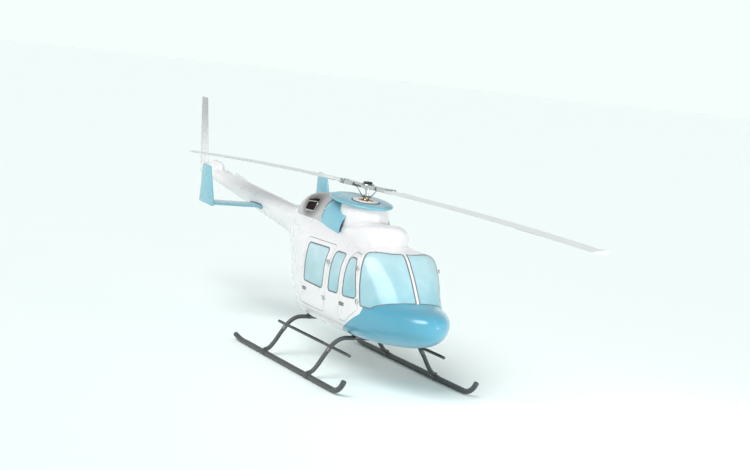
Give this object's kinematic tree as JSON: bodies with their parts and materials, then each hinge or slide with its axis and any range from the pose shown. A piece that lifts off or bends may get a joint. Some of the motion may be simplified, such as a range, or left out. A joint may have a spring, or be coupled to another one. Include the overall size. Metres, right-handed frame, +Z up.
{
  "type": "light single-turbine helicopter on skids",
  "caption": "Light turbine helicopter on a skid landing gear, with a rounded glazed cabin, hinged side doors, a teetering rotor on a tall mast and a long tail boom with a swept fin.",
  "frame": {"origin": "on the ground under the middle of the bounding box, between the forward blade tip and the fin tip", "axes": "+Z up, nose towards -Y and tail towards +Y, port side towards +X"},
  "size_m": [2.2272, 11.868, 3.5],
  "materials": {
    "paint_white": "gloss",
    "paint_blue": "gloss",
    "paint_light_blue": "gloss",
    "cowl_metal": "satin",
    "glass": "clear",
    "gear_paint": "satin",
    "steel": "satin",
    "blade_paint": "satin",
    "seat_cloth": "woven",
    "cabin_trim": "matte",
    "black_plastic": "matte"
  },
  "bodies": {
    "airframe": {"nose_fairing": "paint_blue", "belly_shell": "paint_white", "aft_fuselage": "paint_white", "cabin_shell": "paint_white", "cabin_floor": "cabin_trim", "rear_bulkhead": "cabin_trim", "windshield_left": "glass", "windshield_right": "glass", "mid_window_left": "glass", "mid_window_right": "glass", "front_seat_box": "cabin_trim", "rear_seat_box": "cabin_trim", "pilot_seat": "seat_cloth", "copilot_seat": "seat_cloth", "rear_bench": "seat_cloth", "instrument_console": "black_plastic", "roof_fairing": "paint_white", "transmission_cowling": "paint_white", "cowling_cap": "paint_light_blue", "mast_collar": "paint_white", "intake_cowling": "paint_light_blue", "engine_cowling": "cowl_metal", "transmission_block": "steel", "engine_block": "steel", "tail_boom": "paint_white", "tail_cone": "paint_white", "vertical_fin": "paint_white", "tail_gearbox_fairing": "paint_white", "tail_rotor_sleeve": "steel", "horizontal_stabilizer": "paint_light_blue", "end_plate_left": "paint_light_blue", "end_plate_right": "paint_light_blue", "skid_left": "gear_paint", "skid_right": "gear_paint", "skid_shoe_left": "steel", "skid_shoe_right": "steel", "front_crosstube": "gear_paint", "aft_crosstube": "gear_paint", "front_crosstube_saddle": "steel", "aft_crosstube_saddle": "steel", "step_left": "gear_paint", "step_right": "gear_paint", "belly_hardpoint": "steel"},
    "main_rotor": {"rotor_mast": "steel", "rotor_hub": "steel", "main_blade_forward": "blade_paint", "main_blade_aft": "blade_paint", "mast_cap": "black_plastic"},
    "tail_rotor": {"tail_rotor_hub": "steel", "tail_blade_a": "blade_paint", "tail_blade_b": "blade_paint"},
    "crew_door_port": {"crew_door_left": "paint_white", "crew_window_left": "glass"},
    "crew_door_starboard": {"crew_door_right": "paint_white", "crew_window_right": "glass"},
    "passenger_door_port": {"passenger_door_left": "paint_white", "passenger_window_left": "glass"},
    "passenger_door_starboard": {"passenger_door_right": "paint_white", "passenger_window_right": "glass"}
  },
  "joints": [
    {"name": "main_rotor_spin", "type": "hinge", "parent": "airframe", "child": "main_rotor", "pos_m": [0, -0.988, 2.755], "axis": [0, 0, 1], "continuous": true},
    {"name": "tail_rotor_spin", "type": "hinge", "parent": "airframe", "child": "tail_rotor", "pos_m": [0.34, 5.012, 2.18], "axis": [1, 0, 0], "continuous": true},
    {"name": "crew_door_left_hinge", "type": "hinge", "parent": "airframe", "child": "crew_door_port", "pos_m": [0.698, -2.358, 1.225], "axis": [0.0409, -0.2546, -0.9662], "range_deg": [0, 70]},
    {"name": "crew_door_right_hinge", "type": "hinge", "parent": "airframe", "child": "crew_door_starboard", "pos_m": [-0.698, -2.358, 1.225], "axis": [0.0409, 0.2546, 0.9662], "range_deg": [0, 70]},
    {"name": "passenger_door_left_hinge", "type": "hinge", "parent": "airframe", "child": "passenger_door_port", "pos_m": [0.716, -1.362, 1.08], "axis": [0, 0, -1], "range_deg": [0, 75]},
    {"name": "passenger_door_right_hinge", "type": "hinge", "parent": "airframe", "child": "passenger_door_starboard", "pos_m": [-0.716, -1.362, 1.08], "axis": [0, 0, 1], "range_deg": [0, 75]}
  ],
  "couplings": [
    {"joint": "tail_rotor_spin", "follows": "main_rotor_spin", "ratio": 6.5}
  ]
}
